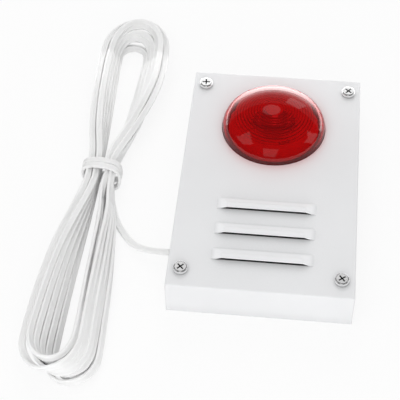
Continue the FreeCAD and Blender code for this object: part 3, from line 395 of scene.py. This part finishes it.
STRAND = 1.2  # radius of one conductor's sleeve, and half the distance between the two
GROOVE = 0.4  # half the cord's thickness between its conductors
CORD_ROUTE = [(-61.5, -55.5, 7.0), (-69.5, -55.5, 7.0), (-78.0, -53.6, 5.2), (-86.5, -49.0, 2.6),
              (-93.0, -42.0, 1.3), (-98.8, -34.0, 1.3), (-103.3, -25.5, 1.3), (-106.3, -16.8, 1.3)]
LEAD_IN = [(-109.0, -8.0, 1.9), (-112.2, 1.0, 3.0)]  # on from that route into the tie
LOOP_POINTS = 9  # control points round the far side of a loop
LINE_STEPS = 6  # points of a cord's mesh for each control point


def loop_end(low, low_size, high, high_size, first, last):
    """Pairs of points round the far side of a loop, on the lowest and on the highest turn's ellipse."""
    pairs = []
    for step in range(LOOP_POINTS):
        turn = math.radians(first + (last - first) * step / (LOOP_POINTS - 1))
        pairs.append(tuple(
            (middle[0] + size[0] * math.cos(turn), middle[1] + size[1] * math.sin(turn), middle[2])
            for middle, size in ((low, low_size), (high, high_size))
        ))
    return pairs


# Centres of the lowest and the highest turn's inner cord, round the upper loop and then the lower one.
UPPER = [
    ((-108.0, 50, 2.6), (-102.0, 50, 14.0)), ((-105.6, 80, 2.6), (-94.0, 78, 16.2)),
    ((-103.6, 108, 2.6), (-89.6, 103, 16.6)),
    *loop_end((-113.0, 133.0, 2.6), (10.2, 10.5), (-109.0, 129.0, 16.6), (19.2, 30.6), 0, 180),
    ((-122.9, 108, 2.6), (-128.6, 103, 16.6)), ((-122.1, 80, 2.6), (-127.8, 78, 16.2)),
    ((-121.2, 50, 2.6), (-125.8, 50, 14.0)),
]
LOWER = [
    ((-121.8, -30, 2.6), (-127.5, -30, 14.0)), ((-122.8, -55, 2.6), (-133.0, -55, 16.0)),
    ((-123.9, -82, 2.6), (-136.6, -80, 16.4)), ((-124.6, -112, 2.6), (-139.0, -106, 16.6)),
    *loop_end((-111.6, -140.0, 2.6), (13.4, 16.4), (-126.0, -131.0, 16.6), (14.5, 20.9), 180, 360),
    ((-99.2, -112, 2.6), (-111.6, -106, 16.6)), ((-101.2, -84, 2.6), (-112.0, -82, 16.4)),
    ((-104.2, -57, 2.6), (-112.2, -57, 16.0)), ((-107.8, -32, 2.6), (-112.6, -32, 14.0)),
]


def dipped(share, far_share, far_offset):
    """Keys of an upper turn that lies at one share, and at another with an offset round the far end."""
    return [(0, share, 0, 0), (3, share, 0, 0), (6, far_share, far_offset, 0), (8, far_share, far_offset, 0),
            (11, share, 0, 0), (14, share, 0, 0)]


# Turns that leave the even winding: station, share of the way from the lowest turn to the highest,
# added outward offset, and how far the flat side turns outwards in degrees.
UPPER_LAY = {
    2: dipped(0.25, 0.36, -1.4),
    3: dipped(0.25, 0.36, -1.3),
    4: dipped(0.5, 0.57, -1.6),
    5: dipped(0.5, 0.57, -1.5),
    6: [(0, 0.7, 0, 0), (3, 0.72, 0, 0), (6, 0.84, 0, 0), (8, 0.84, 0, 0), (11, 0.75, 0, 0),
        (14, 0.75, 0, 0)],
    7: [(0, 0.72, 0, 0), (3, 0.76, 0, 0), (6, 0.86, 0.4, 0), (8, 0.84, 0.6, 10), (10, 0.8, 2.0, 30),
        (12, 0.8, 2.4, 35), (13, 0.78, 2.0, 30), (14, 0.75, 0, 0)],
    8: [(0, 1.06, -1.8, 60), (3, 1.02, -1.5, 50), (6, 1.0, -0.4, 15), (8, 1.0, 0, 0), (14, 1.0, 0, 0)],
    9: [(0, 1.06, -1.6, 60), (3, 1.02, -1.2, 50), (6, 1.0, -0.2, 15), (8, 1.0, 0, 0), (10, 1.0, 0.2, 20),
        (12, 0.98, 0.2, 25), (14, 1.0, 0, 0)],
}
LOWER_LAY = {
    0: [(0, 0, 0, 0), (5, 0, 0, 0), (8, 0, -0.4, 0), (12, 0, 0, 0), (16, 0, 0, 0)],
    1: [(0, 0, 0, 0), (3, 0, 1.6, 0), (6, 0, 3.0, 0), (8, 0, 0.4, 0), (12, 0, 0, 0), (16, 0, 0, 0)],
    2: [(0, 0.25, 0, 0), (5, 0.25, 0, 0), (8, 0.27, -2.6, 0), (11, 0.27, -1.6, 0), (16, 0.25, 0, 0)],
    3: [(0, 0.25, 0, 0), (5, 0.25, 0, 0), (8, 0.27, -2.4, 0), (11, 0.27, -1.2, 0), (16, 0.25, 0, 0)],
    4: [(0, 0.5, 0, 0), (5, 0.5, 0, 0), (8, 0.46, -0.8, 0), (12, 0.48, 0, 0), (16, 0.5, 0, 0)],
    5: [(0, 0.5, 0, 0), (5, 0.5, 0, 0), (8, 0.44, 0.3, 0), (12, 0.46, 0.6, 0), (16, 0.5, 0, 0)],
    6: [(0, 0.75, 0, 0), (5, 0.75, 0, 0), (8, 0.66, -1.0, 0), (12, 0.72, 0, 0), (16, 0.75, 0, 0)],
    7: [(0, 0.75, 0, 0), (5, 0.7, 0, 0), (8, 0.6, 0.4, 0), (12, 0.66, 0, 0), (16, 0.75, 0, 0)],
    8: [(0, 1.0, 0, 0), (16, 1.0, 0, 0)],
    9: [(0, 1.0, 0, 0), (1, 1.0, 1.6, 35), (3, 1.0, 2.6, 60), (5, 0.96, 2.8, 60), (6.5, 0.84, 2.2, 30),
        (8, 0.78, 1.5, 0), (10, 0.82, 0.6, 0), (12, 0.86, 0.4, 0), (16, 1.0, 0, 0)],
}
TURNS = 10
LAYERS = 5
WALL = 18.8  # from the lowest cord's middle to the highest one's, when they lie edge to edge
WAIST_MIDDLE = (-117.5, 10.0)
WAIST_FOOT = 3.8  # height of the lowest pass through the tie
WAIST_REACH = 14.0  # from the waist's middle to either end of a pass
WAIST_WIDTH = (-0.86, 0, 0.5)  # from one conductor to the other there
SLOT_FIRST, SLOT_ACROSS, SLOT_UP = 3.3, 4.95, 2.45  # first pass from the middle, and the passes' pitches
WANDER = 0.2  # how far a turn strays from its place
TURN_GAP = 0.2  # between two turns side by side
FLOOR_GAP = 0.05


def line_points(controls):
    """Points along the smooth curve with these control points."""
    curve = bpy.data.curves.new("line", "CURVE")
    curve.dimensions = "3D"
    curve.resolution_u = LINE_STEPS
    spline = curve.splines.new("NURBS")
    spline.points.add(len(controls) - 1)
    for point, control in zip(spline.points, controls):
        point.co = (*control, 1)
    spline.order_u = 3
    spline.use_endpoint_u = True
    line = bpy.data.objects.new("line", curve)
    mesh = bpy.data.meshes.new_from_object(line)
    found = [vertex.co.copy() for vertex in mesh.vertices]
    bpy.data.meshes.remove(mesh)
    bpy.data.objects.remove(line)
    bpy.data.curves.remove(curve)
    return found


def cord_profile():
    """Outline of the cord's section: two round sleeves with a shallow groove between them."""
    outline = []
    for side, first in ((-1, 90), (1, -90)):
        for step in range(7):
            turn = math.radians(first + 30 * step)
            outline.append((side * STRAND + STRAND * math.cos(turn), STRAND * math.sin(turn)))
        outline.append((0, GROOVE * side))
    return outline


def flat_cord(name, controls, widths):
    """A flat two-wire cord along a curve; widths gives the direction from one wire to the other."""
    aligned = [Vector(widths[0]).normalized()]
    for width in widths[1:]:
        width = Vector(width).normalized()
        aligned.append(-width if width.dot(aligned[-1]) < 0 else width)
    middle = line_points([Vector(point) * MM for point in controls])
    edge = line_points([(Vector(point) + width) * MM for point, width in zip(controls, aligned)])
    outline = cord_profile()
    corners, faces = [], []
    count, sides = len(middle), len(outline)
    for index, point in enumerate(middle):
        ahead = middle[min(index + 1, count - 1)] - middle[max(index - 1, 0)]
        ahead.normalize()
        across = edge[index] - point
        across = (across - ahead * across.dot(ahead)).normalized()
        over = ahead.cross(across)
        corners += [point + (across * wide + over * tall) * MM for wide, tall in outline]
    for index in range(count - 1):
        first = index * sides
        for step in range(sides):
            after = (step + 1) % sides
            faces.append((first + step, first + after, first + sides + after, first + sides + step))
    last = (count - 1) * sides
    faces.append(tuple(range(sides - 1, -1, -1)))
    faces.append(tuple(range(last, last + sides)))
    mesh = bpy.data.meshes.new(name)
    mesh.from_pydata(corners, [], faces)
    for polygon in mesh.polygons:
        polygon.use_smooth = len(polygon.vertices) == 4
    mesh.materials.append(FINISH["cord_white"])
    piece = bpy.data.objects.new(name, mesh)
    scene.collection.objects.link(piece)
    return piece, middle


def waist_slot(side, number):
    """Centre of one pass through the tie: side is 1 to the right and -1 to the left."""
    column, layer = number % 2, number // 2
    across = WAIST_MIDDLE[0] + side * (SLOT_FIRST + SLOT_ACROSS * column)
    return across, WAIST_FOOT + SLOT_UP * min(layer, LAYERS - 1)


def lay_at(turn, keys, station):
    """Share, added offset and turn of one cord turn at a station, between the two nearest keys."""
    for before, after in zip(keys, keys[1:]):
        if before[0] <= station <= after[0]:
            part = (station - before[0]) / (after[0] - before[0])
            part = part * part * (3 - 2 * part)
            return [low + (high - low) * part for low, high in zip(before[1:], after[1:])]
    return turn // 2 / (LAYERS - 1), 0, 0


def hank():
    """Control points and width directions of the wound length, turn by turn."""
    draw = random.Random(7)
    points, widths = [], []

    def through_waist(side, first, last):
        for share in (0, 0.5, 1):
            across, height = (low + (high - low) * share
                              for low, high in zip(waist_slot(side, first), waist_slot(side, last)))
            points.append((across, WAIST_MIDDLE[1] + side * WAIST_REACH * (2 * share - 1), height))
            widths.append(WAIST_WIDTH)

    def round_loop(stations, turn, keys):
        middles = [(Vector(low) + Vector(high)) / 2 for low, high in stations]
        wander = [draw.uniform(-1, 1) for _ in range(4)]
        for number, (low, high) in enumerate(stations):
            low, high = Vector(low), Vector(high)
            ahead = middles[min(number + 1, len(stations) - 1)] - middles[max(number - 1, 0)]
            ahead.normalize()
            lean = high - low
            width = (lean - ahead * lean.dot(ahead)).normalized()
            out = ahead.cross(width)
            phase = number / len(stations) * 2 * math.pi
            drift = (wander[0] * math.sin(phase + wander[1] * 3)
                     + wander[2] * math.sin(2 * phase + wander[3] * 3)) * WANDER
            share, offset, turned = lay_at(turn, keys, number)
            # Where the wall of turns is lower than its cords laid edge to edge, the cords lean out.
            slope = math.acos(min(1, lean.length / WALL))
            turned = math.radians(turned) + slope
            beside = 4 * STRAND * math.sin(turned) + 2 * STRAND * math.cos(turned) + TURN_GAP
            offset += turn % 2 * beside
            place = low + lean * share + out * (offset + drift)
            width = width * math.cos(turned) + out * math.sin(turned)
            place.z = max(place.z, STRAND * (1 + abs(width.z)) + FLOOR_GAP)
            points.append(tuple(place))
            widths.append(tuple(width))

    for turn in range(TURNS):
        through_waist(1, max(turn - 1, 0), turn)
        round_loop(UPPER, turn, UPPER_LAY.get(turn, ()))
        through_waist(-1, turn, turn)
        round_loop(LOWER, turn, LOWER_LAY.get(turn, ()))
    through_waist(1, TURNS - 1, TURNS - 1)
    del points[0], widths[0], points[-1], widths[-1]
    return points, widths


hank_points, hank_widths = hank()
route = CORD_ROUTE + LEAD_IN + hank_points
route_widths = []
for number in range(len(CORD_ROUTE) + len(LEAD_IN)):
    ahead = Vector(route[number + 1]) - Vector(route[max(number - 1, 0)])
    route_widths.append((ahead.y, -ahead.x, 0))
cord, cord_path = flat_cord("supply_lead", route, route_widths + hank_widths)

# The tie's control points, each with how far its width leans up from y.
TIE = [
    (-110.0, 14.0, 1.25, 0), (-118.0, 14.0, 1.25, 0), (-126.5, 13.9, 1.25, 0), (-130.6, 13.8, 3.6, 0),
    (-131.0, 13.7, 9.0, 0), (-129.6, 13.6, 14.6, 0), (-124.5, 13.5, 16.6, 0), (-117.5, 13.2, 17.0, 0),
    (-110.5, 12.6, 16.6, 0), (-105.4, 11.8, 14.4, 0), (-104.2, 10.6, 9.0, 0), (-104.8, 9.6, 3.4, 0),
    (-109.0, 9.2, 1.25, 0), (-118.0, 9.0, 1.25, 0), (-126.5, 8.9, 1.25, 0), (-130.6, 8.9, 3.6, 0),
    (-131.0, 8.8, 9.0, 0), (-129.6, 8.7, 14.6, 0), (-124.5, 8.6, 16.8, 0), (-117.5, 8.2, 17.2, 0),
    (-110.5, 7.3, 16.9, 0), (-105.2, 6.2, 14.6, 0.1), (-104.2, 4.9, 10.0, 0.2), (-104.6, 3.6, 5.2, 0.2),
    (-106.2, 2.4, 2.2, 0.1), (-110.0, 1.2, 1.3, 0), (-115.5, 0.4, 1.3, 0),
]
tie, _ = flat_cord("cord_tie", [row[:3] for row in TIE], [(0, 1, row[3]) for row in TIE])
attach(tie, "root")

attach(cord, "root")
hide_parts("supply_cord", "cord_hank")


# ---------------------------------------------------------------- stage


FLOOR_GLOW = 0.84  # share of the floor's own white to the eye and in gloss
CARD_WAY = (-0.075, 0.63, 0.775)  # towards the white card that gloss shows, above and behind the object
CARD_EDGE = (0.984, 0.9875)  # cosines from that way between which the card fades in
RIM_PLACE, RIM_WIDE = 0.125, 0.4
RIM_STEPS = [0.0, 0.023, 0.043, 0.05, 0.056, 0.063, 0.075, 0.1]
RIM_GLOW = [1.8, 3.2, 2.0, 1.1, 0.6, 0.3, 0.15]


def floor():
    mix = Mix("studio_floor")
    tint = mix.ramp(mix.noise(3, 2), ((0.3, (0.88, 0.88, 0.88)), (0.7, (0.9, 0.9, 0.9))))
    matt = mix.node("ShaderNodeBsdfDiffuse")
    mix.link(tint, matt.inputs["Color"])
    glow = mix.node("ShaderNodeEmission")
    glow.inputs["Color"].default_value = (1, 1, 1, 1)
    glow.inputs["Strength"].default_value = 1.0
    ray = mix.node("ShaderNodeLightPath")
    seen = mix.math("MAXIMUM", ray.outputs["Is Camera Ray"], ray.outputs["Is Glossy Ray"])
    mix.either(mix.math("MULTIPLY", seen, FLOOR_GLOW), matt.outputs["BSDF"], glow.outputs["Emission"])
    mesh = bpy.data.meshes.new("studio_floor")
    mesh.from_pydata([(-4, -4, 0), (4, -4, 0), (4, 4, 0), (-4, 4, 0)], [], [(0, 1, 2, 3)])
    mesh.materials.append(mix.material)
    made = bpy.data.objects.new("studio_floor", mesh)
    scene.collection.objects.link(made)


def world():
    made = bpy.data.worlds.new("studio")
    scene.world = made
    made.use_nodes = True
    tree = made.node_tree
    tree.nodes.clear()
    out = tree.nodes.new("ShaderNodeOutputWorld")
    soft, white = (tree.nodes.new("ShaderNodeBackground") for _ in range(2))
    soft.inputs["Color"].default_value = (1, 1, 1, 1)
    soft.inputs["Strength"].default_value = 0.66
    white.inputs["Color"].default_value = (1, 1, 1, 1)
    white.inputs["Strength"].default_value = 1.0
    ray = tree.nodes.new("ShaderNodeLightPath")
    # Gloss shows a dim studio with one white card above and behind the object.
    way = tree.nodes.new("ShaderNodeTexCoord")
    rise = tree.nodes.new("ShaderNodeVectorMath")
    rise.operation = "DOT_PRODUCT"
    rise.inputs[1].default_value = CARD_WAY
    tree.links.new(way.outputs["Generated"], rise.inputs[0])
    dim = tree.nodes.new("ShaderNodeMapRange")
    for key, number in zip(("From Min", "From Max", "To Min", "To Max"), (*CARD_EDGE, 0.08, 0.85)):
        dim.inputs[key].default_value = number
    tree.links.new(rise.outputs["Value"], dim.inputs["Value"])
    gloss = tree.nodes.new("ShaderNodeBackground")
    tree.links.new(dim.outputs["Result"], gloss.inputs["Strength"])
    shiny = tree.nodes.new("ShaderNodeMixShader")
    tree.links.new(ray.outputs["Is Glossy Ray"], shiny.inputs["Fac"])
    tree.links.new(soft.outputs["Background"], shiny.inputs[1])
    tree.links.new(gloss.outputs["Background"], shiny.inputs[2])
    both = tree.nodes.new("ShaderNodeMixShader")
    tree.links.new(ray.outputs["Is Camera Ray"], both.inputs["Fac"])
    tree.links.new(shiny.outputs["Shader"], both.inputs[1])
    tree.links.new(white.outputs["Background"], both.inputs[2])
    tree.links.new(both.outputs["Shader"], out.inputs["Surface"])


def lamp(name, place, size, power, in_gloss=True, lights=True):
    data = bpy.data.lights.new(name, "AREA")
    data.shape = "RECTANGLE"
    data.size, data.size_y = size
    data.energy = power
    made = bpy.data.objects.new(name, data)
    made.location = place
    made.rotation_euler = (-Vector(place)).to_track_quat("-Z", "Y").to_euler()
    made.visible_glossy = in_gloss
    made.visible_diffuse = lights
    made.visible_transmission = False
    scene.collection.objects.link(made)


def camera():
    """The camera that was fitted to the box's corners in the photograph."""
    data = bpy.data.cameras.new("camera")
    data.lens = 108.94
    data.sensor_width = 36
    data.clip_start = 0.01
    made = bpy.data.objects.new("camera", data)
    right = Vector((0.9947, 0.1019, -0.0100))
    up = Vector((-0.0715, 0.7614, 0.6443))
    right.normalize()
    back = right.cross(up).normalized()
    up = back.cross(right)
    place = Matrix((right, up, back)).transposed().to_4x4()
    place.translation = (0.01453, -0.54251, 0.64505)
    made.matrix_world = place
    scene.collection.objects.link(made)
    scene.camera = made


floor()
world()
for name, place, size, power in (
    ("key", (-0.55, -0.55, 1.0), (0.9, 0.9), 2.0),
    ("front", (0.1, -1.1, 0.35), (0.9, 0.9), 4.6),
    ("back", (-0.1, 0.95, 0.8), (0.8, 0.8), 3.7),
):
    lamp(name, place, size, power, in_gloss=False)
# Cards that show in gloss only: low ones behind the box, fading upward, and one for each patch on the dome.
for number, (low, high, glow) in enumerate(zip(RIM_STEPS, RIM_STEPS[1:], RIM_GLOW)):
    lamp(f"rim_{number}", (0, RIM_PLACE, (low + high) / 2), (RIM_WIDE, high - low),
         glow * math.pi * RIM_WIDE * (high - low), lights=False)
for name, place, size, power in (
    ("panel_front", (-0.05, -0.77, 0.64), (0.45, 1.06), 0.75),
    ("panel_left", (-0.73, -0.14, 0.72), (0.42, 0.55), 0.4),
    ("panel_right", (0.92, 0.15, 0.46), (0.42, 0.6), 0.55),
    ("panel_back", (0.32, 0.92, 0.45), (0.28, 0.3), 0.2),
):
    lamp(name, place, size, power, lights=False)
camera()
scene.view_settings.view_transform = "Standard"
